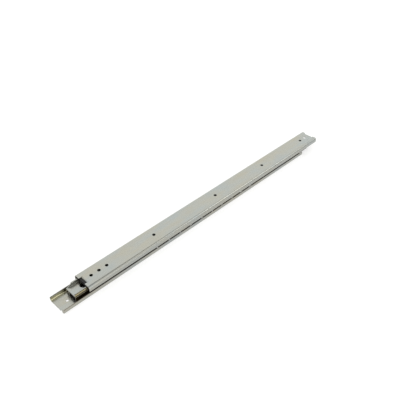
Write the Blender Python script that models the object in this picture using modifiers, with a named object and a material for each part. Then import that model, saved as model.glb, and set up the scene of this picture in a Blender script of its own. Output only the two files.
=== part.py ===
"""Over-extending ball-bearing drawer slide, two ball pairs back to back, built in metres."""
import math

import bmesh
import bpy

MM = 0.001

# Section of the rolled steel members, in millimetres.
STACK_HEIGHT = 19.1
HALF_WIDTH = 17.65
MEMBER_SHEET = 1.2
CABINET_CORNER = 3.0
DRAWER_CORNER = 4.0
LIP_RADIUS = 4.0
CABINET_LIP_CENTRE = 6.2
DRAWER_LIP_CENTRE = 7.5
LIP_CURL_DEG = 22
ARC_STEPS = 5

# Section of the two inner channels, in millimetres.
CHANNEL_WEB_LOW = 8.25
CHANNEL_WEB_HIGH = 9.4
CHANNEL_SHEET = 1.1
CHANNEL_EDGE = 2.5
GROOVE_RADIUS = 2.8

# Balls and their cages, in millimetres.
BALL_RADIUS = 2.5
BALL_Y = 13.65
BALL_Z = 4.65
BALLS_PER_ROW = 10
CAGE_LENGTH = 248.0
CAGE_SHEET = 0.5
CAGE_FLOOR = 1.6
CAGE_TOP = 7.9
CAGE_SIDE = 13.9
POCKET_RADIUS = 2.65

# Where each piece starts along the slide, in millimetres from the row's origin.
MEMBER_LENGTH = 550.0
CABINET_START = -275.0
DRAWER_START = -230.8
CHANNEL_START = -251.0
CHANNEL_LENGTH = 550.0
LOWER_CAGE_START = -112.8
UPPER_CAGE_START = -89.8

# Holes, in millimetres from the near end of the piece they are in.
CABINET_SCREW_RADIUS = 2.05
DRAWER_SCREW_RADIUS = 2.6
CABINET_HOLES = (16.5, 137.0, 249.0, 402.0, 535.0)
DRAWER_HOLES = (16.5, 30.5, 44.5, 137.0, 277.0, 402.0, 520.0, 535.0)
ACCESS_RADIUS = 4.3
ACCESS_HOLES = (20.5, 529.5)
RIVET_HOLES = (67.0, 171.0, 275.0, 379.0, 483.0)
RIVET_RADIUS = 2.0
RIVET_HEAD_RADIUS = 3.4
DIMPLES = ((417.13, 7.87), (418.09, -7.17), (533.37, -9.43))


def clear_file():
    for old in list(bpy.data.objects):
        bpy.data.objects.remove(old, do_unlink=True)


def new_collection(name):
    made = bpy.data.collections.new(name)
    bpy.context.scene.collection.children.link(made)
    return made


clear_file()
PARTS = new_collection("drawer_slide")
CUTTERS = new_collection("cutters")
CUTTERS.hide_render = True


def material(name, colour, metallic, roughness):
    made = bpy.data.materials.new(name)
    made.use_nodes = True
    shader = made.node_tree.nodes["Principled BSDF"]
    shader.inputs["Base Color"].default_value = (colour[0], colour[1], colour[2], 1.0)
    shader.inputs["Metallic"].default_value = metallic
    shader.inputs["Roughness"].default_value = roughness
    made.diffuse_color = (colour[0], colour[1], colour[2], 1.0)
    return made


def zinc(name):
    return material(name, (0.62, 0.63, 0.60), 1.0, 0.35)


def polished(name):
    return material(name, (0.75, 0.76, 0.77), 1.0, 0.12)


def rubber(name):
    return material(name, (0.015, 0.015, 0.015), 0.0, 0.7)


def arc(centre_x, centre_y, radius, start_deg, end_deg, steps=ARC_STEPS):
    """Points of an arc, both ends included."""
    points = []
    for i in range(steps + 1):
        angle = math.radians(start_deg + (end_deg - start_deg) * i / steps)
        points.append((centre_x + radius * math.cos(angle), centre_y + radius * math.sin(angle)))
    return points


def mirrored(half):
    """Close an outline given for the right side only, from its first point on the centre line."""
    return half + [(-x, y) for x, y in reversed(half)]


def turned_over(outline):
    """The same section for the upper pair, facing down from the top of the stack."""
    return [(x, STACK_HEIGHT - y) for x, y in outline]


def curve_object(name, outline, length):
    """A filled outline extruded by length about its own plane, in metres."""
    curve = bpy.data.curves.new(name, "CURVE")
    curve.dimensions = "2D"
    curve.fill_mode = "BOTH"
    curve.extrude = length * MM / 2
    spline = curve.splines.new("POLY")
    spline.points.add(len(outline) - 1)
    for point, (x, y) in zip(spline.points, outline):
        point.co = (x * MM, y * MM, 0.0, 1.0)
    spline.use_cyclic_u = True
    return bpy.data.objects.new(name, curve)


def meshed(source, name, collection):
    """Turn a curve object into a closed mesh object in the same place."""
    bpy.context.scene.collection.objects.link(source)
    bpy.context.view_layer.update()
    graph = bpy.context.evaluated_depsgraph_get()
    mesh = bpy.data.meshes.new_from_object(source.evaluated_get(graph))
    shell = bmesh.new()
    shell.from_mesh(mesh)
    bmesh.ops.remove_doubles(shell, verts=shell.verts, dist=1e-6)
    bmesh.ops.recalc_face_normals(shell, faces=shell.faces)
    shell.to_mesh(mesh)
    shell.free()
    place = source.matrix_world.copy()
    bpy.data.objects.remove(source, do_unlink=True)
    made = bpy.data.objects.new(name, mesh)
    made.matrix_world = place
    collection.objects.link(made)
    return made


def along_slide(name, outline, start, length, collection=PARTS):
    """A section in Y and Z drawn out along X."""
    source = curve_object(name, outline, length)
    source.rotation_euler = (math.pi / 2, 0.0, math.pi / 2)
    source.location = ((start + length / 2) * MM, 0.0, 0.0)
    return meshed(source, name, collection)


def across_slide(name, outline, y_low, y_high, collection=CUTTERS):
    """An outline in X and Z drawn out along Y."""
    source = curve_object(name, outline, y_high - y_low)
    source.rotation_euler = (math.pi / 2, 0.0, 0.0)
    source.location = (0.0, (y_low + y_high) / 2 * MM, 0.0)
    return meshed(source, name, collection)


def box(name, x_low, x_high, y_low, y_high, z_low, z_high):
    outline = [(x_low, z_low), (x_high, z_low), (x_high, z_high), (x_low, z_high)]
    return across_slide(name, outline, y_low, y_high)


def cylinder(name, x, y, z_low, z_high, radius, sides=24):
    bpy.ops.mesh.primitive_cylinder_add(
        vertices=sides,
        radius=radius * MM,
        depth=(z_high - z_low) * MM,
        location=(x * MM, y * MM, (z_low + z_high) / 2 * MM),
        rotation=(0.0, 0.0, math.pi / sides),
    )
    return into_cutters(name)


def cross_cylinder(name, x, y, z, radius, sides=14):
    bpy.ops.mesh.primitive_cylinder_add(
        vertices=sides,
        radius=radius * MM,
        depth=2 * MM,
        location=(x * MM, y * MM, z * MM),
        rotation=(math.pi / 2, 0.0, 0.0),
    )
    return into_cutters(name)


def into_cutters(name):
    made = bpy.context.active_object
    made.name = name
    for home in list(made.users_collection):
        home.objects.unlink(made)
    CUTTERS.objects.link(made)
    return made


def combine(target, tool, operation):
    """Apply one exact Boolean and keep the tool hidden as a wire cutter."""
    tool.display_type = "WIRE"
    tool.hide_render = True
    change = target.modifiers.new(operation.lower(), "BOOLEAN")
    change.operation = operation
    change.solver = "EXACT"
    change.object = tool
    bpy.context.view_layer.update()
    graph = bpy.context.evaluated_depsgraph_get()
    mesh = bpy.data.meshes.new_from_object(target.evaluated_get(graph))
    target.modifiers.clear()
    old = target.data
    target.data = mesh
    bpy.data.meshes.remove(old)


def cut(target, tool):
    combine(target, tool, "DIFFERENCE")


def join(target, tool):
    combine(target, tool, "UNION")


def finish(target, surface):
    """Give a piece its material and smooth its rounded faces."""
    target.data.materials.clear()
    target.data.materials.append(surface)
    target.data.shade_smooth()
    target.data.set_sharp_from_angle(angle=math.radians(40))
    return target


def moving_frame(name, x, parent):
    """An empty on the slide's axis that carries the pieces moving together."""
    made = bpy.data.objects.new(name, None)
    made.empty_display_size = 0.01
    made.location = (x * MM, 0.0, STACK_HEIGHT / 2 * MM)
    PARTS.objects.link(made)
    if parent is not None:
        made.parent = parent
        made.matrix_parent_inverse = parent.matrix_world.inverted()
    bpy.context.view_layer.update()
    return made


def hang(target, parent):
    target.parent = parent
    target.matrix_parent_inverse = parent.matrix_world.inverted()


def member_outline(corner, lip_centre):
    """Flat web with both edges rolled up and a little inwards, open at the top, back at height 0."""
    side = HALF_WIDTH - corner
    centre = HALF_WIDTH - LIP_RADIUS
    half = arc(side, corner, corner, -90, 0)
    half += arc(centre, lip_centre, LIP_RADIUS, 0, LIP_CURL_DEG, 3)
    half += arc(centre, lip_centre, LIP_RADIUS - MEMBER_SHEET, LIP_CURL_DEG, 0, 3)
    half += arc(side, corner, corner - MEMBER_SHEET, 0, -90)
    return mirrored(half)


def channel_outline():
    """Flat web high up with two flanges turned down, each grooved outside for the balls."""
    reach = math.degrees(math.asin((BALL_Z - CHANNEL_EDGE) / GROOVE_RADIUS))
    outer = arc(10.2, CHANNEL_WEB_HIGH - 1.5, 1.5, 90, 15, 4)
    outer += arc(BALL_Y, BALL_Z, GROOVE_RADIUS, 180 - reach, 180 + reach, 6)
    inner = arc(BALL_Y, BALL_Z, GROOVE_RADIUS + CHANNEL_SHEET, 180 + 33, 180 - 33, 4)
    inner += arc(9.9, CHANNEL_WEB_LOW - 0.5, 0.5, 0, 90, 2)
    return mirrored(outer + inner)


def cage_outline():
    """Thin U strip: a floor with both sides standing between the balls."""
    inner = CAGE_SIDE - CAGE_SHEET
    half = [(CAGE_SIDE - 0.3, CAGE_FLOOR), (CAGE_SIDE, CAGE_FLOOR + 0.3), (CAGE_SIDE, CAGE_TOP)]
    half += [(inner, CAGE_TOP), (inner, CAGE_FLOOR + CAGE_SHEET)]
    return mirrored(half)


def bent_tab(name, face_x, leaving, y_low, y_high, web_far, web_near, tip):
    """A strip that leaves a web along X and turns square towards the tip height.

    leaving is +1 or -1 along X; web_near is the web's face on the tab's side, web_far the other.
    """
    turn = 1.0 if tip > web_near else -1.0
    inset = 0.05
    outer_z = web_far + turn * inset
    inner_z = web_near - turn * inset
    sheet = abs(inner_z - outer_z)
    bend = sheet + 0.35
    root = face_x - leaving * 4.5
    centre_x = face_x - leaving * bend
    centre_z = outer_z + turn * bend
    points = [(root, outer_z)]
    for i in range(5):
        angle = math.radians(90 * i / 4)
        points.append(
            (centre_x + leaving * bend * math.sin(angle), centre_z - turn * bend * math.cos(angle))
        )
    points.append((face_x, tip))
    points.append((face_x - leaving * sheet, tip))
    for i in range(3):
        angle = math.radians(90 - 90 * i / 2)
        points.append(
            (centre_x + leaving * 0.35 * math.sin(angle), centre_z - turn * 0.35 * math.cos(angle))
        )
    points.append((root, inner_z))
    return across_slide(name, points, y_low, y_high)


def add_tab(target, end_x, face_x, leaving, y_low, y_high, web_far, web_near, tip):
    """Open a relief notch in the web from its end, then stand the bent tab in it."""
    bend_line = face_x - leaving * (abs(web_near - web_far) + 0.4)
    low_x = min(end_x + leaving, bend_line)
    high_x = max(end_x + leaving, bend_line)
    low_z = min(web_far, web_near) - 0.4
    high_z = max(web_far, web_near) + 0.4
    cut(target, box("relief", low_x, high_x, y_low - 0.3, y_high + 0.3, low_z, high_z))
    join(target, bent_tab("tab", face_x, leaving, y_low, y_high, web_far, web_near, tip))


def cabinet_member():
    """Lower outer member, screwed to the cabinet side by its back."""
    outline = member_outline(CABINET_CORNER, CABINET_LIP_CENTRE)
    made = along_slide("cabinet_member", outline, CABINET_START, MEMBER_LENGTH)
    for hole in CABINET_HOLES:
        cut(made, cylinder("screw_hole", CABINET_START + hole, 0, -1, 2.2, CABINET_SCREW_RADIUS))
    cut(made, box("gauge_notch", CABINET_START - 1, CABINET_START + 1.0, -11.9, -8.4, -1, 2.2))
    far = CABINET_START + MEMBER_LENGTH
    add_tab(made, far, far - 0.9, 1, -5.0, 5.0, 0.0, MEMBER_SHEET, 6.6)
    return made


def drawer_member():
    """Upper outer member, screwed to the drawer side by its back."""
    outline = turned_over(member_outline(DRAWER_CORNER, DRAWER_LIP_CENTRE))
    made = along_slide("drawer_member", outline, DRAWER_START, MEMBER_LENGTH)
    low = STACK_HEIGHT - 2.2
    high = STACK_HEIGHT + 1
    for hole in DRAWER_HOLES:
        cut(made, cylinder("screw_hole", DRAWER_START + hole, 0, low, high, DRAWER_SCREW_RADIUS))
    for x, y in DIMPLES:
        cut(made, cylinder("dimple", DRAWER_START + x, y, STACK_HEIGHT - 0.35, high, 0.8, 12))
    web = STACK_HEIGHT - MEMBER_SHEET
    add_tab(made, DRAWER_START, DRAWER_START + 4.3, -1, -6.9, 6.9, STACK_HEIGHT, web, 12.7)
    far = DRAWER_START + MEMBER_LENGTH
    add_tab(made, far, far - 2.0, 1, -9.0, 9.0, STACK_HEIGHT, web, 13.2)
    return made


def open_channel(made, low, high):
    """Rivet and access holes through a channel's web."""
    for hole in RIVET_HOLES:
        cut(made, cylinder("rivet_hole", CHANNEL_START + hole, 0, low, high, RIVET_RADIUS + 0.15, 16))
    for hole in ACCESS_HOLES:
        cut(made, cylinder("access_hole", CHANNEL_START + hole, 0, low, high, ACCESS_RADIUS, 32))


def slope_near_end(made):
    """Cut the near end of the left flange back at a slant."""
    outline = [(-2.0, 11.05), (1.5, 11.05), (10.3, 17.4), (-2.0, 17.4)]
    placed = [(CHANNEL_START + x, z) for x, z in outline]
    cut(made, across_slide("slope", placed, 5, 15))


def lower_channel():
    """Inner channel that runs on the cabinet member's balls."""
    made = along_slide("lower_channel", channel_outline(), CHANNEL_START, CHANNEL_LENGTH)
    open_channel(made, 7, 10.5)
    near = CHANNEL_START
    far = CHANNEL_START + CHANNEL_LENGTH
    add_tab(made, near, near + 0.02, -1, 3.2, 7.2, CHANNEL_WEB_HIGH, CHANNEL_WEB_LOW, 2.0)
    add_tab(made, far, far - 0.02, 1, -5.0, 5.0, CHANNEL_WEB_HIGH, CHANNEL_WEB_LOW, 2.0)
    return made


def upper_channel():
    """Inner channel that runs on the drawer member's balls, back to back with the lower one."""
    outline = turned_over(channel_outline())
    made = along_slide("upper_channel", outline, CHANNEL_START, CHANNEL_LENGTH)
    open_channel(made, 8.6, 12.1)
    slope_near_end(made)
    far = CHANNEL_START + CHANNEL_LENGTH
    web_low = STACK_HEIGHT - CHANNEL_WEB_HIGH
    web_high = STACK_HEIGHT - CHANNEL_WEB_LOW
    add_tab(made, far, far - 4.0, 1, -5.0, 5.0, web_low, web_high, 17.3)
    return made


def rivet(number, x):
    """A low-headed steel rivet through both inner webs."""
    middle = STACK_HEIGHT / 2
    web = STACK_HEIGHT - CHANNEL_WEB_LOW - middle
    profile = [(0.0, web + 0.95), (RIVET_HEAD_RADIUS - 1.2, web + 0.85)]
    profile += [(RIVET_HEAD_RADIUS - 0.4, web + 0.6), (RIVET_HEAD_RADIUS, web + 0.1)]
    profile += [(RIVET_RADIUS, web + 0.1)]
    profile += [(radius, -height) for radius, height in reversed(profile)]
    shell = bmesh.new()
    points = [shell.verts.new((radius * MM, 0.0, height * MM)) for radius, height in profile]
    for pair in zip(points, points[1:]):
        shell.edges.new(pair)
    mesh = bpy.data.meshes.new("rivet_%d" % number)
    shell.to_mesh(mesh)
    shell.free()
    made = bpy.data.objects.new("rivet_%d" % number, mesh)
    made.location = (x * MM, 0.0, middle * MM)
    turn = made.modifiers.new("turn", "SCREW")
    turn.axis = "Z"
    turn.steps = 16
    turn.render_steps = 16
    turn.use_merge_vertices = True
    turn.merge_threshold = 0.000001
    PARTS.objects.link(made)
    return made


def ball_places(start):
    """Ball centres along one row of a cage."""
    margin = 13.0
    pitch = (CAGE_LENGTH - 2 * margin) / (BALLS_PER_ROW - 1)
    return [start + margin + pitch * i for i in range(BALLS_PER_ROW)]


def cage(name, start, upward):
    """Pressed strip that keeps two rows of balls apart."""
    outline = cage_outline()
    ball_z = BALL_Z
    low, high = CAGE_FLOOR - 1, CAGE_FLOOR + 1.2
    if upward:
        outline = turned_over(outline)
        ball_z = STACK_HEIGHT - BALL_Z
        low, high = STACK_HEIGHT - high, STACK_HEIGHT - low
    made = along_slide(name, outline, start, CAGE_LENGTH)
    for x in ball_places(start):
        for side in (-1, 1):
            cut(made, cross_cylinder("ball_pocket", x, side * (BALL_Y + 0.6), ball_z, POCKET_RADIUS))
    for i in range(4):
        middle = start + CAGE_LENGTH * (i + 0.5) / 4
        cut(made, box("window", middle - 21, middle + 21, -8, 8, low, high))
    return made


def ball(name, x, y, z):
    bpy.ops.mesh.primitive_uv_sphere_add(
        segments=10,
        ring_count=5,
        radius=BALL_RADIUS * MM,
        location=(x * MM, y * MM, z * MM),
        rotation=(math.pi / 2, 0.0, 0.0),
    )
    made = bpy.context.active_object
    made.name = name
    for home in list(made.users_collection):
        home.objects.unlink(made)
    PARTS.objects.link(made)
    return made


def near_buffer():
    """Rubber block in front of the drawer member's near tab."""
    near = DRAWER_START
    outline = [(near + 0.7, 13.0), (near + 1.6, 12.1), (near + 5.4, 12.1), (near + 5.4, 12.5)]
    outline += [(near + 4.0, 12.5), (near + 4.0, 18.0), (near + 0.7, 18.0)]
    return across_slide("near_buffer", outline, -6.7, 6.7, PARTS)


def far_buffer():
    """Rubber pad on the inner side of the drawer member's far tab."""
    face = DRAWER_START + MEMBER_LENGTH - 2.0 - 1.3
    outline = [(face - 2.5, 14.9), (face - 2.0, 14.4), (face, 14.4), (face, 17.2)]
    outline += [(face - 2.0, 17.2), (face - 2.5, 16.7)]
    return across_slide("far_buffer", outline, -8.0, 8.0, PARTS)


def build():
    cabinet = moving_frame("cabinet_frame", 0.0, None)
    intermediate = moving_frame("intermediate_frame", CHANNEL_START, cabinet)
    drawer = moving_frame("drawer_frame", DRAWER_START, intermediate)
    lower_run = moving_frame("lower_cage_frame", LOWER_CAGE_START, cabinet)
    upper_run = moving_frame("upper_cage_frame", UPPER_CAGE_START, intermediate)

    hang(finish(cabinet_member(), zinc("cabinet_member")), cabinet)
    hang(finish(lower_channel(), zinc("lower_channel")), intermediate)
    hang(finish(upper_channel(), zinc("upper_channel")), intermediate)
    for number, hole in enumerate(RIVET_HOLES, 1):
        made = rivet(number, CHANNEL_START + hole)
        hang(finish(made, zinc("rivet_%d" % number)), intermediate)
    hang(finish(drawer_member(), zinc("drawer_member")), drawer)
    hang(finish(near_buffer(), rubber("near_buffer")), drawer)
    hang(finish(far_buffer(), rubber("far_buffer")), drawer)

    rows = (
        ("lower", LOWER_CAGE_START, False, lower_run, BALL_Z),
        ("upper", UPPER_CAGE_START, True, upper_run, STACK_HEIGHT - BALL_Z),
    )
    for level, start, upward, frame, ball_z in rows:
        cage_name = level + "_cage"
        hang(finish(cage(cage_name, start, upward), zinc(cage_name)), frame)
        for side, y in (("right", -BALL_Y), ("left", BALL_Y)):
            for number, x in enumerate(ball_places(start), 1):
                name = "%s_%s_ball_%d" % (level, side, number)
                hang(finish(ball(name, x, y, ball_z), polished(name)), frame)


build()
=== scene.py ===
"""Over-extending ball-bearing drawer slide, put together from the cabinet side outwards."""
import math

import bmesh
import bpy
from mathutils import Matrix, Vector


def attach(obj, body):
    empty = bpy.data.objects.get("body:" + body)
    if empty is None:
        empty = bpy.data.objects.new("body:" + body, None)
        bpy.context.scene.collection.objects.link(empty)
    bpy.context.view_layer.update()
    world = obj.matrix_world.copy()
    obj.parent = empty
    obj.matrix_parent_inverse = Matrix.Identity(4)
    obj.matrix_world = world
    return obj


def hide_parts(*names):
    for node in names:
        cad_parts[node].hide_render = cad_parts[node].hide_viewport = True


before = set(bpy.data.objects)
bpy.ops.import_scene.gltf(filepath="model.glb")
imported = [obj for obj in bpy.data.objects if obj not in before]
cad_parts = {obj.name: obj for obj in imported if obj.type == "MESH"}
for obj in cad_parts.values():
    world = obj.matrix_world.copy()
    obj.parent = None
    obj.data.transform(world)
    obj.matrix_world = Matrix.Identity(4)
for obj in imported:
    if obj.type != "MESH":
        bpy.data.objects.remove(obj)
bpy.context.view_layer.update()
scene = bpy.context.scene


# Camera.
# A normal lens on a stand, looking down over the near end of the slide, which lies on its
# cabinet side with the drawer member on top.
def place_camera():
    lens = bpy.data.cameras.new("stand_camera")
    lens.sensor_width = 36.0
    lens.lens = 47.72
    lens.clip_start = 0.02
    lens.clip_end = 40.0
    camera = bpy.data.objects.new("stand_camera", lens)
    scene.collection.objects.link(camera)
    camera.location = (-0.4793, -0.4809, 0.5822)
    looking = Vector((0.5548, 0.5463, -0.6276))
    camera.rotation_euler = looking.to_track_quat("-Z", "Y").to_euler()
    scene.camera = camera


place_camera()
scene.view_settings.view_transform = "Standard"


# Cabinet member.
# The lower outer member: 1.2 mm cold-rolled strip, roll-formed so both edges curl in over the ball
# tracks, punched for screws and zinc plated. Screws hold it to the cabinet side by its back.
MM = 0.001
STACK = 19.1
HALF_WIDTH = 17.65
SHEET = 1.2
LIP_RADIUS = 4.0
LIP_CURL = 15
RAIL_LENGTH = 550.0
CABINET_CORNER = 3.0
CABINET_LIP_CENTRE = 6.2
CABINET_START = -275.0
CABINET_SCREWS = (16.5, 137.0, 249.0, 402.0, 535.0)
CABINET_SCREW_RADIUS = 2.05
CABINET_STOP_INSET = 0.9
CABINET_STOP_TIP = 6.6
# Bounds of the ball tracks, which get a painted highlight, and of the lips' slit rims, which get painted
# shade.
TRACK_INNER = 13.0
TRACK_TOP = 6.4
SLIT_INNER = 15.0
SLIT_BOTTOM = 6.9


def arc(centre, radius, start, end, steps):
    """Points round a bend in the sheet, both ends included."""
    points = []
    for i in range(steps + 1):
        angle = math.radians(start + (end - start) * i / steps)
        points.append((centre[0] + radius * math.cos(angle), centre[1] + radius * math.sin(angle)))
    return points


def both_sides(right):
    """Close a section given for its right side only."""
    return right + [(-y, z) for y, z in reversed(right)]


def rail_section(corner, lip_centre):
    """Back flat at height 0, edges rolled up and slightly inwards to a rounded end."""
    turn = (HALF_WIDTH - corner, corner)
    lip = (HALF_WIDTH - LIP_RADIUS, lip_centre)
    middle = LIP_RADIUS - SHEET / 2
    end = math.radians(LIP_CURL)
    tip = (lip[0] + middle * math.cos(end), lip[1] + middle * math.sin(end))
    right = arc(turn, corner, -90, 0, 12)
    right += arc(lip, LIP_RADIUS, 0, LIP_CURL, 3)
    right += arc(tip, SHEET / 2, LIP_CURL + 18, LIP_CURL + 162, 5)
    right += arc(lip, LIP_RADIUS - SHEET, LIP_CURL, 0, 3)
    right += arc(turn, corner - SHEET, 0, -90, 12)
    return both_sides(right)


def piece_from(name, made):
    """Turn a finished bmesh into an object in the scene."""
    bmesh.ops.recalc_face_normals(made, faces=made.faces)
    mesh = bpy.data.meshes.new(name)
    made.to_mesh(mesh)
    made.free()
    piece = bpy.data.objects.new(name, mesh)
    scene.collection.objects.link(piece)
    return piece


def swept(name, start, end):
    """A straight solid between two copies of one outline, given in millimetres."""
    made = bmesh.new()
    near = [made.verts.new((x * MM, y * MM, z * MM)) for x, y, z in start]
    far = [made.verts.new((x * MM, y * MM, z * MM)) for x, y, z in end]
    made.faces.new(near)
    made.faces.new(far)
    for i in range(len(near)):
        after = (i + 1) % len(near)
        made.faces.new((near[i], near[after], far[after], far[i]))
    return piece_from(name, made)


def drawn_out(name, section, start, length):
    """A sheet-metal section in Y and Z, run along X."""
    end = start + length
    return swept(name, [(start, y, z) for y, z in section], [(end, y, z) for y, z in section])


def plate(name, outline, y_low, y_high):
    """An outline in X and Z, run across the slide along Y."""
    return swept(name, [(x, y_low, z) for x, z in outline], [(x, y_high, z) for x, z in outline])


def block(x_low, x_high, y_low, y_high, z_low, z_high):
    """A square punch."""
    outline = [(x_low, z_low), (x_high, z_low), (x_high, z_high), (x_low, z_high)]
    return plate("punch", outline, y_low, y_high)


def ring_of(made, radius, height, sides):
    """One ring of a turned shape, or the single point where it meets its axis."""
    if radius == 0.0:
        return [made.verts.new((0.0, 0.0, height * MM))]
    ring = []
    for i in range(sides):
        angle = 2 * math.pi * i / sides
        x, y = radius * math.cos(angle), radius * math.sin(angle)
        ring.append(made.verts.new((x * MM, y * MM, height * MM)))
    return ring


def turned(name, profile, sides, place=(0.0, 0.0, 0.0), axis="Z"):
    """A closed turned shape: profile is (radius, height) from one end of the axis to the other."""
    made = bmesh.new()
    rings = [ring_of(made, radius, height, sides) for radius, height in profile]
    for lower, upper in zip(rings, rings[1:]):
        for i in range(sides):
            after = (i + 1) % sides
            corners = [lower[i % len(lower)], lower[after % len(lower)]]
            corners += [upper[after % len(upper)], upper[i % len(upper)]]
            made.faces.new(list(dict.fromkeys(corners)))
    for ring in (rings[0], rings[-1]):
        if len(ring) > 1:
            made.faces.new(ring)
    if axis == "Y":
        bmesh.ops.rotate(made, matrix=Matrix.Rotation(math.pi / 2, 3, "X"), verts=made.verts)
    bmesh.ops.translate(made, vec=Vector(place) * MM, verts=made.verts)
    return piece_from(name, made)


def settle(piece):
    """Apply every modifier on a piece."""
    bpy.context.view_layer.update()
    graph = bpy.context.evaluated_depsgraph_get()
    mesh = bpy.data.meshes.new_from_object(piece.evaluated_get(graph))
    piece.modifiers.clear()
    old = piece.data
    piece.data = mesh
    bpy.data.meshes.remove(old)
    mesh.name = piece.name


def press(piece, tool, operation="DIFFERENCE"):
    """Punch a shape out of the sheet, or weld one on, and throw the tool away."""
    change = piece.modifiers.new("press", "BOOLEAN")
    change.operation = operation
    change.solver = "EXACT"
    change.object = tool
    settle(piece)
    bpy.data.objects.remove(tool, do_unlink=True)


def punched_hole(x, low, high, radius):
    """A punched hole's tool, with the punch's rounded entry on both faces of the sheet."""
    roll = 0.18
    knee = roll * 0.3
    flare = radius + 1.2
    profile = [(flare, low - 1.0), (radius + roll, low), (radius + knee, low + knee)]
    profile += [(radius, low + roll), (radius, high - roll)]
    profile += [(radius + knee, high - knee), (radius + roll, high), (flare, high + 1.0)]
    return turned("punch", profile, 40, (x, 0.0, 0.0))


def elbow(centre, radius, leaving, turn, angles):
    """Points round a tongue's bend, from 0 along the web to 90 square to it."""
    points = []
    for angle in angles:
        along = leaving * radius * math.sin(math.radians(angle))
        up = turn * radius * math.cos(math.radians(angle))
        points.append((centre[0] + along, centre[1] - up))
    return points


def bent_tab(face, leaving, across, web, tip):
    """A tongue of the sheet that leaves the web along X and turns square."""
    turn = 1.0 if tip > web[1] else -1.0
    sunk = 0.02
    outer = web[0] + turn * sunk
    inner = web[1] - turn * sunk
    sheet = abs(inner - outer)
    inside = 0.35
    edge = 0.2
    bend = sheet + inside
    root = face - leaving * 4.5
    centre = (face - leaving * bend, outer + turn * bend)
    points = [(root, outer)]
    points += elbow(centre, bend, leaving, turn, [90 * i / 8 for i in range(9)])
    points += [(face, tip - turn * edge), (face - leaving * edge, tip)]
    points += [(face - leaving * (sheet - edge), tip), (face - leaving * sheet, tip - turn * edge)]
    points += elbow(centre, inside, leaving, turn, [90 - 90 * i / 4 for i in range(5)])
    points.append((root, inner))
    return plate("tongue", points, *across)


def fold_tab(piece, end, face, leaving, across, web, tip):
    """Relieve the web on both sides of a tongue, then fold the tongue.

    leaving is +1 or -1 along X, across is its two edges, and web is the height of the web's
    outer and inner face.
    """
    slack = 0.4
    line = face - leaving * (abs(web[1] - web[0]) + slack)
    x_low = min(end + leaving, line)
    x_high = max(end + leaving, line)
    press(
        piece,
        block(x_low, x_high, across[0] - 0.3, across[1] + 0.3, min(web) - slack, max(web) + slack),
    )
    press(piece, bent_tab(face, leaving, across, web, tip), "UNION")


def break_edges(piece, width):
    """Take the sharp corners off, as shearing and barrel plating do, and shade the bends smooth."""
    edge = piece.modifiers.new("edge", "BEVEL")
    edge.width = width * MM
    edge.segments = 2
    edge.limit_method = "ANGLE"
    edge.angle_limit = math.radians(50)
    edge.use_clamp_overlap = False
    edge.harden_normals = False
    settle(piece)
    for corner in piece.data.vertices:
        corner.co.z = min(max(corner.co.z, 0.0), STACK * MM)
    piece.data.shade_smooth()
    piece.data.set_sharp_from_angle(angle=math.radians(38))
    flat = piece.modifiers.new("flat", "WEIGHTED_NORMAL")
    flat.mode = "FACE_AREA"
    flat.weight = 90
    flat.keep_sharp = True
    settle(piece)


def linear(code):
    """An sRGB hex colour as linear RGBA."""
    values = []
    for i in (1, 3, 5):
        value = int(code[i : i + 2], 16) / 255
        values.append(value / 12.92 if value <= 0.04045 else ((value + 0.055) / 1.055) ** 2.4)
    return (values[0], values[1], values[2], 1.0)


def connect(tree, made, inputs):
    """Link each input that is given as a socket, and set any other to its value."""
    for name, value in inputs.items():
        if isinstance(value, bpy.types.NodeSocket):
            tree.links.new(value, made.inputs[name])
        else:
            made.inputs[name].default_value = value


def node(tree, kind, settings=None, inputs=None, stops=()):
    """Add a node with its settings and inputs; stops are a colour ramp's places and colours."""
    made = tree.nodes.new(kind)
    for name, value in (settings or {}).items():
        setattr(made, name, value)
    connect(tree, made, inputs or {})
    for i, (place, colour) in enumerate(stops):
        band = made.color_ramp.elements
        point = band[i] if i < 2 else band.new(place)
        point.position = place
        point.color = linear(colour)
    return made


def new_finish(name):
    """A new material, its tree, its shader and the piece's own coordinates."""
    made = bpy.data.materials.new(name)
    made.use_nodes = True
    tree = made.node_tree
    where = node(tree, "ShaderNodeTexCoord").outputs["Object"]
    return made, tree, tree.nodes["Principled BSDF"], where


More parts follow.
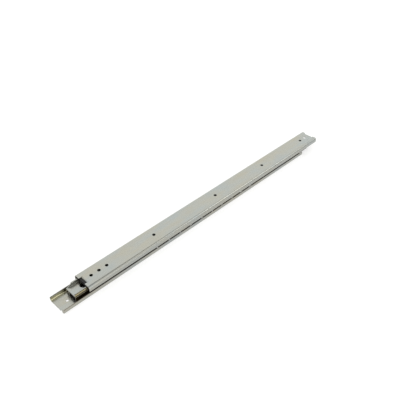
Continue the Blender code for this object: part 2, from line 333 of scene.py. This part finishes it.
def clear_zinc(name, pale="#a6a7a1", warm="#a8a69b", cool="#a2a7a6", rough=0.27):
    """Bright zinc plate with a clear chromate film on rolled strip.

    The film leaves faint straw and blue clouds a few centimetres wide, the strip keeps fine lines
    along its length, and handling leaves small dull spots.
    """
    made, tree, shader, where = new_finish(name)
    # Clouds of film colour, about 20 mm across and three times as long along the strip.
    stretch = node(tree, "ShaderNodeMapping", inputs={"Vector": where, "Scale": (18.0, 55.0, 55.0)})
    clouds = node(
        tree,
        "ShaderNodeTexNoise",
        inputs={"Vector": stretch.outputs[0], "Scale": 1.0, "Detail": 3.0, "Roughness": 0.55},
    )
    film = node(
        tree,
        "ShaderNodeValToRGB",
        inputs={"Fac": clouds.outputs["Fac"]},
        stops=((0.32, cool), (0.5, pale), (0.68, warm)),
    )
    # Rolling lines 0.4 mm apart; the real ones are finer than could be seen.
    lines = node(tree, "ShaderNodeMapping", inputs={"Vector": where, "Scale": (25.0, 2400.0, 2400.0)})
    grain = node(
        tree,
        "ShaderNodeTexNoise",
        inputs={"Vector": lines.outputs[0], "Scale": 1.0, "Detail": 2.0, "Roughness": 0.6},
    )
    # Mottling of the plate's crystals, drawn 1.5 mm wide so that it shows at all.
    mottle = node(tree, "ShaderNodeTexNoise", inputs={"Vector": where, "Scale": 650.0, "Detail": 4.0})
    shade = node(
        tree,
        "ShaderNodeMapRange",
        inputs={
            "Value": grain.outputs["Fac"],
            "From Min": 0.3,
            "From Max": 0.7,
            "To Min": 0.94,
            "To Max": 1.03,
        },
    )
    tint = node(
        tree,
        "ShaderNodeMix",
        {"data_type": "RGBA", "blend_type": "MULTIPLY"},
        {"Factor": 1.0, "A": film.outputs["Color"], "B": shade.outputs["Result"]},
    )
    dull = node(
        tree,
        "ShaderNodeMapRange",
        inputs={
            "Value": mottle.outputs["Fac"],
            "From Min": 0.3,
            "From Max": 0.75,
            "To Min": rough - 0.04,
            "To Max": rough + 0.1,
        },
    )
    relief = node(
        tree,
        "ShaderNodeBump",
        inputs={"Height": grain.outputs["Fac"], "Strength": 0.08, "Distance": 0.00005},
    )
    pits = node(
        tree,
        "ShaderNodeBump",
        inputs={
            "Height": mottle.outputs["Fac"],
            "Strength": 0.05,
            "Distance": 0.00006,
            "Normal": relief.outputs["Normal"],
        },
    )
    connect(
        tree,
        shader,
        {
            "Base Color": tint.outputs["Result"],
            "Roughness": dull.outputs["Result"],
            "Normal": pits.outputs["Normal"],
            "Metallic": 1.0,
        },
    )
    return made


zinc_plate = clear_zinc("clear_zinc_plated_strip")
# The cut ends are darker and duller. The same finish is painted on the lips' slit rims as the shade in the
# gap between the members.
dark_end_and_rim_shade = clear_zinc("dark_strip_end_and_painted_rim_shade", "#7d7a75", "#7d766d", "#77757a", 0.4)
# Painted shade inside the slide: the plate coloured nearly black and brownish where light hardly reaches.
painted_inner_shade = clear_zinc("painted_inner_shade_zinc", "#453c2c", "#40361f", "#3f3a30", 0.35)
# Painted highlight on the ball tracks: a pale straw plate, brighter than the strip, for the light the
# curled tracks gather.
straw_race_painted_highlight = clear_zinc("straw_chromate_ball_race", "#d6d1b0", "#dad2a4", "#cdccb4", 0.2)

# Finish slots: plate, ball track, darker cut ends that also carry painted shade on the slit rims, and
# painted shade inside the slide.
PLAIN_FACE = 0
TRACK_FACE = 1
DARK_END_AND_RIM_SHADE_FACE = 2
INNER_SHADE_FACE = 3


def finish_sheet(piece, track, choose):
    """Plate a piece; choose picks each face's finish, and the cut ends are darker and duller."""
    for finish in (zinc_plate, track, dark_end_and_rim_shade, painted_inner_shade):
        piece.data.materials.append(finish)
    for face in piece.data.polygons:
        x, y, z = (value / MM for value in face.center)
        outward = face.normal.y * math.copysign(1.0, y)
        if abs(face.normal.x) > 0.9:
            face.material_index = DARK_END_AND_RIM_SHADE_FACE
        else:
            face.material_index = choose(x, abs(y), z, face.normal.z, outward)


def rail_finish(x, y, z, up, outward):
    """Ball tracks in the rolled corners with the straw painted highlight, and slit edges with painted
    shade; plate elsewhere.
    """
    height = min(z, STACK - z)
    if y > TRACK_INNER and outward < 0.3 and SHEET + 0.05 < height < TRACK_TOP:
        return TRACK_FACE
    # The lips' slit rims sit in the narrow gap between the members and get painted shade.
    if y > SLIT_INNER and height > SLIT_BOTTOM and abs(up) > 0.3:
        return DARK_END_AND_RIM_SHADE_FACE
    return PLAIN_FACE


cabinet_far = CABINET_START + RAIL_LENGTH
cabinet_section = rail_section(CABINET_CORNER, CABINET_LIP_CENTRE)
cabinet_rail = drawn_out("cabinet_rail", cabinet_section, CABINET_START, RAIL_LENGTH)
for hole in CABINET_SCREWS:
    press(cabinet_rail, punched_hole(CABINET_START + hole, 0.0, SHEET, CABINET_SCREW_RADIUS))
# The gauge notch in the near edge, then the stop tongue at the far end.
press(cabinet_rail, block(CABINET_START - 1, CABINET_START + 1.0, -11.9, -8.4, -1, 2.2))
cabinet_stop = cabinet_far - CABINET_STOP_INSET
fold_tab(cabinet_rail, cabinet_far, cabinet_stop, 1, (-5.0, 5.0), (0.0, SHEET), CABINET_STOP_TIP)
break_edges(cabinet_rail, 0.12)
finish_sheet(cabinet_rail, straw_race_painted_highlight, rail_finish)
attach(cabinet_rail, "cabinet")
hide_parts("cabinet_member")


# Lower cage and its balls.
# A thin pressed strip bent to a U whose sides are pierced for the balls, and hardened steel balls
# ground and polished. The balls roll and carry the cage along at half the travel.
BALL_RADIUS = 2.5
BALL_Y = 13.65
BALL_Z = 4.65
BALLS_PER_ROW = 10
FIRST_BALL = 13.0
POCKET_RADIUS = 2.65
CAGE_LENGTH = 248.0
CAGE_SHEET = 0.5
CAGE_SIDE = 13.9
CAGE_FLOOR = 1.6
CAGE_TOP = 7.9
CAGE_WINDOWS = 4
LOWER_CAGE_START = -112.8


def turned_over(section):
    """The same section facing down from the top of the stack."""
    return [(y, STACK - z) for y, z in section]


def cage_section():
    """A flat floor and two upright sides."""
    inner = CAGE_SIDE - CAGE_SHEET
    bend = 0.35
    edge = 0.08
    right = arc((CAGE_SIDE - bend, CAGE_FLOOR + bend), bend, -90, 0, 4)
    right += [(CAGE_SIDE, CAGE_TOP - edge), (CAGE_SIDE - edge, CAGE_TOP)]
    right += [(inner + edge, CAGE_TOP), (inner, CAGE_TOP - edge), (inner, CAGE_FLOOR + CAGE_SHEET)]
    return both_sides(right)


def ball_places(start):
    """Ball centres along a row, from the cage's start."""
    pitch = (CAGE_LENGTH - 2 * FIRST_BALL) / (BALLS_PER_ROW - 1)
    return [start + FIRST_BALL + pitch * i for i in range(BALLS_PER_ROW)]


def bent_cage(name, start, over):
    """The U strip with its ball pockets and four windows in the floor."""
    section = cage_section()
    middle = BALL_Z
    low, high = CAGE_FLOOR - 1.0, CAGE_FLOOR + 1.2
    if over:
        section = turned_over(section)
        middle = STACK - BALL_Z
        low, high = STACK - high, STACK - low
    made = drawn_out(name, section, start, CAGE_LENGTH)
    pierce = [(POCKET_RADIUS, -1.0), (POCKET_RADIUS, 1.0)]
    for x in ball_places(start):
        for side in (-1, 1):
            press(made, turned("pierce", pierce, 28, (x, side * (BALL_Y + 0.6), middle), "Y"))
    for i in range(CAGE_WINDOWS):
        window = start + CAGE_LENGTH * (i + 0.5) / CAGE_WINDOWS
        press(made, block(window - 21, window + 21, -8, 8, low, high))
    break_edges(made, 0.05)
    return made


def ball_row(name, start, y, z):
    """The balls along one side of a cage, as one piece."""
    made = bmesh.new()
    for x in ball_places(start):
        place = Matrix.Translation(Vector((x, y, z)) * MM)
        bmesh.ops.create_icosphere(made, subdivisions=3, radius=BALL_RADIUS * MM, matrix=place)
    piece = piece_from(name, made)
    piece.data.shade_smooth()
    return piece


def ground_balls():
    """Through-hardened bearing steel, ground and lapped: near-mirror with faint roll marks."""
    made, tree, shader, where = new_finish("lapped_bearing_steel")
    marks = node(tree, "ShaderNodeTexNoise", inputs={"Vector": where, "Scale": 900.0, "Detail": 3.0})
    colour = node(
        tree,
        "ShaderNodeValToRGB",
        inputs={"Fac": marks.outputs["Fac"]},
        stops=((0.35, "#c8c8c6"), (0.7, "#dcdcdd")),
    )
    dull = node(
        tree, "ShaderNodeMapRange", inputs={"Value": marks.outputs["Fac"], "To Min": 0.04, "To Max": 0.16}
    )
    connect(
        tree,
        shader,
        {"Base Color": colour.outputs["Color"], "Roughness": dull.outputs["Result"], "Metallic": 1.0},
    )
    return made


# The cage strip is plated too, with a stronger straw and blue cast than the members.
cage_zinc = clear_zinc("zinc_plated_cage_strip", "#c2c2bb", "#c9bf9f", "#b4bcbf", 0.32)
bearing_steel = ground_balls()


def fit_balls(level, start, z):
    for side, y in (("right", -BALL_Y), ("left", BALL_Y)):
        row = ball_row("%s_%s_balls" % (level, side), start, y, z)
        row.data.materials.append(bearing_steel)
        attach(row, level + "_cage")
        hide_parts(*["%s_%s_ball_%d" % (level, side, i) for i in range(1, BALLS_PER_ROW + 1)])


def fit_cage(level, start, over):
    strip = bent_cage(level + "_ball_cage", start, over)
    strip.data.materials.append(cage_zinc)
    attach(strip, level + "_cage")
    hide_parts(level + "_cage")


fit_cage("lower", LOWER_CAGE_START, False)
fit_balls("lower", LOWER_CAGE_START, BALL_Z)


# Intermediate member.
# Two inner channels, back to back, riveted through their webs. Each is the same strip, bent to a U
# whose flanges are grooved outside for the balls; the upper one's left flange is sheared to a slant.
WEB_LOW = 8.25
WEB_HIGH = 9.4
CHANNEL_SHEET = 1.1
CHANNEL_EDGE = 2.5
GROOVE_RADIUS = 2.8
CHANNEL_START = -251.0
CHANNEL_LENGTH = 550.0
LOWER_TAB_INSET = 0.02
LOWER_TAB_TIP = 2.0
UPPER_TAB_INSET = 4.0
UPPER_TAB_TIP = 17.3
FLANGE_INNER = 10.6
ACCESS_HOLES = (20.5, 529.5)
ACCESS_RADIUS = 4.3
RIVETS = (67.0, 171.0, 275.0, 379.0, 483.0)
RIVET_HOLE_RADIUS = 2.15
# Where the painted shade on the lower channel's grooves stops, at the cabinet member's far end.
INNER_SHADE_END = 274.0


def channel_section():
    """A web with both flanges turned down and waisted round the ball track."""
    reach = math.degrees(math.asin((BALL_Z - CHANNEL_EDGE) / GROOVE_RADIUS))
    right = arc((10.2, WEB_HIGH - 1.5), 1.5, 90, 15, 8)
    right += arc((BALL_Y, BALL_Z), GROOVE_RADIUS, 180 - reach, 180 + reach - 3, 12)
    right += [(11.74, CHANNEL_EDGE), (FLANGE_INNER, CHANNEL_EDGE)]
    right += arc((BALL_Y, BALL_Z), GROOVE_RADIUS + CHANNEL_SHEET, 180 + 31, 180 - 33, 8)
    right += arc((9.9, WEB_LOW - 0.5), 0.5, 0, 90, 4)
    return both_sides(right)


def slope_near_end(piece):
    """Shear the near end of the left flange to a slant."""
    slant = [(-2.0, 11.05), (1.5, 11.05), (10.3, 17.4), (-2.0, 17.4)]
    press(piece, plate("shear", [(CHANNEL_START + x, z) for x, z in slant], 5, 15))


def bent_channel(name, over):
    """One channel with its rivet holes and the two holes a screwdriver passes through."""
    section = channel_section()
    low, high = WEB_LOW, WEB_HIGH
    if over:
        section = turned_over(section)
        low, high = STACK - WEB_HIGH, STACK - WEB_LOW
    made = drawn_out(name, section, CHANNEL_START, CHANNEL_LENGTH)
    punch = [(RIVET_HOLE_RADIUS, low - 0.7), (RIVET_HOLE_RADIUS, high + 0.7)]
    for x in RIVETS:
        press(made, turned("punch", punch, 24, (CHANNEL_START + x, 0, 0)))
    for x in ACCESS_HOLES:
        press(made, punched_hole(CHANNEL_START + x, low, high, ACCESS_RADIUS))
    if over:
        slope_near_end(made)
    return made


# The grooves are painted a dark amber: painted shade for the gap between the lips, with an amber tint.
amber_groove_painted_shade = clear_zinc("amber_zinc_groove_painted_shade", "#8f876c", "#958a64", "#86836f", 0.3)


def upper_finish(x, y, z, up, outward):
    """Dark amber painted shade where the balls run, plate elsewhere."""
    return TRACK_FACE if y > FLANGE_INNER and outward > 0.6 else PLAIN_FACE


def lower_finish(x, y, z, up, outward):
    """Painted shade wherever it faces the inside of the slide, and on its outer grooves up to the cabinet
    member's far end; past that the grooves stay plain plate.
    """
    if y > FLANGE_INNER and outward > 0.6:
        return INNER_SHADE_FACE if x < INNER_SHADE_END else PLAIN_FACE
    return INNER_SHADE_FACE if up < -0.3 or outward < -0.3 else PLAIN_FACE


def fit_channel(made, node_name, choose):
    break_edges(made, 0.1)
    finish_sheet(made, amber_groove_painted_shade, choose)
    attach(made, "intermediate")
    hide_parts(node_name)


channel_far = CHANNEL_START + CHANNEL_LENGTH
lower_web = (WEB_HIGH, WEB_LOW)
near_stop = CHANNEL_START + LOWER_TAB_INSET
far_stop = channel_far - LOWER_TAB_INSET
lower_strip = bent_channel("lower_inner_channel", False)
fold_tab(lower_strip, CHANNEL_START, near_stop, -1, (3.2, 7.2), lower_web, LOWER_TAB_TIP)
fold_tab(lower_strip, channel_far, far_stop, 1, (-5.0, 5.0), lower_web, LOWER_TAB_TIP)
fit_channel(lower_strip, "lower_channel", lower_finish)

upper_web = (STACK - WEB_HIGH, STACK - WEB_LOW)
upper_stop = channel_far - UPPER_TAB_INSET
upper_strip = bent_channel("upper_inner_channel", True)
fold_tab(upper_strip, channel_far, upper_stop, 1, (-5.0, 5.0), upper_web, UPPER_TAB_TIP)
fit_channel(upper_strip, "upper_channel", upper_finish)

# Rivets are headed from plated wire and come out a little duller than the strip.
rivet_zinc = clear_zinc("zinc_plated_rivet_wire", "#a7a9a6", "#aba793", "#9fa5a6", 0.34)
rivet_top = STACK / 2 - WEB_LOW
dome = [(0.0, 0.95), (1.2, 0.93), (2.2, 0.82), (2.9, 0.62), (3.3, 0.38), (3.4, 0.18), (3.35, 0.1)]
dome = [(radius, rivet_top + height) for radius, height in dome + [(2.0, 0.1)]]
rivet_profile = dome + [(radius, -height) for radius, height in reversed(dome)]
for number, x in enumerate(RIVETS, 1):
    place = (CHANNEL_START + x, 0.0, STACK / 2)
    set_rivet = turned("set_rivet_%d" % number, rivet_profile, 32, place)
    set_rivet.data.shade_smooth()
    set_rivet.data.set_sharp_from_angle(angle=math.radians(50))
    set_rivet.data.materials.append(rivet_zinc)
    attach(set_rivet, "intermediate")
    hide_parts("rivet_%d" % number)


# Upper cage and its balls.
# The same cage and balls, turned over between the intermediate member and the drawer member, and
# standing a little further along the slide.
UPPER_CAGE_START = -89.8

fit_cage("upper", UPPER_CAGE_START, True)
fit_balls("upper", UPPER_CAGE_START, STACK - BALL_Z)


# Drawer member.
# The same rolled strip as the cabinet member, turned over, with a row of screw holes, small
# pressed location marks and a stop tab folded down at each end.
DRAWER_CORNER = 4.0
DRAWER_LIP_CENTRE = 7.5
DRAWER_START = -230.8
DRAWER_SCREWS = (16.5, 30.5, 44.5, 137.0, 277.0, 402.0, 520.0, 535.0)
DRAWER_SCREW_RADIUS = 2.6
MARKS = ((417.13, 7.87), (418.09, -7.17), (533.37, -9.43))
NEAR_TAB_INSET = 4.3
NEAR_TAB_TIP = 12.7
FAR_TAB_INSET = 2.0
FAR_TAB_TIP = 13.2

drawer_far = DRAWER_START + RAIL_LENGTH
near_tab = DRAWER_START + NEAR_TAB_INSET
far_tab = drawer_far - FAR_TAB_INSET
drawer_web = (STACK, STACK - SHEET)
drawer_section = turned_over(rail_section(DRAWER_CORNER, DRAWER_LIP_CENTRE))
drawer_rail = drawn_out("drawer_rail", drawer_section, DRAWER_START, RAIL_LENGTH)
for hole in DRAWER_SCREWS:
    press(drawer_rail, punched_hole(DRAWER_START + hole, STACK - SHEET, STACK, DRAWER_SCREW_RADIUS))
mark = [(0.3, STACK - 0.35), (0.7, STACK - 0.2), (0.9, STACK + 0.1)]
for x, y in MARKS:
    press(drawer_rail, turned("mark", mark, 20, (DRAWER_START + x, y, 0.0)))
fold_tab(drawer_rail, DRAWER_START, near_tab, -1, (-6.9, 6.9), drawer_web, NEAR_TAB_TIP)
fold_tab(drawer_rail, drawer_far, far_tab, 1, (-9.0, 9.0), drawer_web, FAR_TAB_TIP)
break_edges(drawer_rail, 0.12)
finish_sheet(drawer_rail, straw_race_painted_highlight, rail_finish)
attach(drawer_rail, "drawer")
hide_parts("drawer_member")


# Buffers.
# Moulded black rubber pieces on the drawer member's stop tabs, which quieten both ends of travel.
# The near one hooks under its tab and the far one is a pad on the tab's inner side.
def moulded_rubber():
    """Carbon-black nitrile rubber from a blasted mould: matt, with a slight grey bloom."""
    made, tree, shader, where = new_finish("moulded_black_rubber")
    # Mould texture with 0.3 mm grains.
    skin = node(tree, "ShaderNodeTexNoise", inputs={"Vector": where, "Scale": 3000.0, "Detail": 3.0})
    bloom = node(tree, "ShaderNodeTexNoise", inputs={"Vector": where, "Scale": 250.0, "Detail": 4.0})
    colour = node(
        tree,
        "ShaderNodeValToRGB",
        inputs={"Fac": bloom.outputs["Fac"]},
        stops=((0.4, "#0c0c0c"), (0.8, "#181818")),
    )
    dull = node(
        tree, "ShaderNodeMapRange", inputs={"Value": bloom.outputs["Fac"], "To Min": 0.55, "To Max": 0.8}
    )
    relief = node(
        tree, "ShaderNodeBump", inputs={"Height": skin.outputs["Fac"], "Strength": 0.3, "Distance": 0.0001}
    )
    connect(
        tree,
        shader,
        {
            "Base Color": colour.outputs["Color"],
            "Roughness": dull.outputs["Result"],
            "Normal": relief.outputs["Normal"],
            "IOR": 1.52,
        },
    )
    return made


black_rubber = moulded_rubber()


def fit_buffer(made, node_name):
    break_edges(made, 0.25)
    made.data.materials.append(black_rubber)
    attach(made, "drawer")
    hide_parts(node_name)


hook = [(0.7, 13.0), (1.6, 12.1), (5.4, 12.1), (5.4, 12.5), (4.0, 12.5), (4.0, 18.0), (0.7, 18.0)]
near_pad = plate("near_rubber_buffer", [(DRAWER_START + x, z) for x, z in hook], -6.7, 6.7)
fit_buffer(near_pad, "near_buffer")

# The pad sits 0.1 mm off the tab's 1.2 mm sheet.
pad_face = far_tab - 1.3
pad = [(-2.5, 14.9), (-2.0, 14.4), (0.0, 14.4), (0.0, 17.2), (-2.0, 17.2), (-2.5, 16.7)]
far_pad = plate("far_rubber_buffer", [(pad_face + x, z) for x, z in pad], -8.0, 8.0)
fit_buffer(far_pad, "far_buffer")


# Studio.
# A wide backlit white acrylic table under two soft boxes, in a white room whose walls are not
# evenly lit.
def white_table():
    """Opal acrylic lit from below, with the faintest cloudiness in the sheet."""
    bpy.ops.mesh.primitive_plane_add(size=16.0, location=(0.0, 0.0, -0.0003))
    table = bpy.context.active_object
    table.name = "white_table"
    made, tree, shader, where = new_finish("backlit_white_acrylic")
    cloud = node(tree, "ShaderNodeTexNoise", inputs={"Vector": where, "Scale": 8.0, "Detail": 4.0})
    colour = node(
        tree,
        "ShaderNodeValToRGB",
        inputs={"Fac": cloud.outputs["Fac"]},
        stops=((0.3, "#b0b0b0"), (0.7, "#b4b4b4")),
    )
    connect(
        tree,
        shader,
        {
            "Base Color": colour.outputs["Color"],
            "Roughness": 0.9,
            "Specular IOR Level": 0.1,
            "Emission Color": (1.0, 1.0, 1.0, 1.0),
            "Emission Strength": 0.62,
        },
    )
    table.data.materials.append(made)


def soft_box(name, place, size, power):
    """A square light aimed at the middle of the slide."""
    light = bpy.data.lights.new(name, "AREA")
    light.shape = "SQUARE"
    light.size = size
    light.energy = power
    lamp = bpy.data.objects.new(name, light)
    scene.collection.objects.link(lamp)
    lamp.location = place
    lamp.rotation_euler = (-Vector(place)).to_track_quat("-Z", "Y").to_euler()


def patch(tree, where, heading, begin, full):
    """How far a direction lies inside a round patch of the room, 0 to 1."""
    facing = node(tree, "ShaderNodeVectorMath", {"operation": "DOT_PRODUCT"}, {0: where, 1: heading})
    soft = node(
        tree,
        "ShaderNodeMapRange",
        {"interpolation_type": "SMOOTHSTEP"},
        {"Value": facing.outputs["Value"], "From Min": begin, "From Max": full},
    )
    return soft.outputs["Result"]


def pale_room():
    """White walls with brighter and dimmer patches, which the plated bends pick up."""
    room = bpy.data.worlds.new("pale_room")
    scene.world = room
    room.use_nodes = True
    tree = room.node_tree
    where = node(tree, "ShaderNodeTexCoord").outputs["Generated"]
    level = node(tree, "ShaderNodeValue").outputs[0]
    level.default_value = 1.0
    # Heading, where the patch begins and is full as cosines, and how much it adds.
    areas = (
        # The bright wall behind the table.
        ((0.56, 0.58, 0.59), 0.75, 0.96, 0.35),
        # The dark gap between the soft boxes overhead.
        ((0.2, -0.05, 0.98), 0.93, 0.965, -0.75),
        # The dimmer wall on the right.
        ((0.68, -0.73, -0.05), 0.88, 0.97, -0.4),
        # A bright window beside it.
        ((0.22, -0.97, 0.1), 0.95, 0.985, 1.2),
    )
    for heading, begin, full, change in areas:
        inside = patch(tree, where, heading, begin, full)
        level = node(
            tree, "ShaderNodeMath", {"operation": "MULTIPLY_ADD"}, {0: inside, 1: change, 2: level}
        ).outputs[0]
    connect(tree, tree.nodes["Background"], {"Strength": level, "Color": (1.0, 1.0, 0.97, 1.0)})


white_table()
soft_box("back_box", (-1.3, -1.6, 1.9), 1.2, 10.0)
soft_box("side_box", (1.6, -1.2, 1.6), 0.9, 5.0)
pale_room()
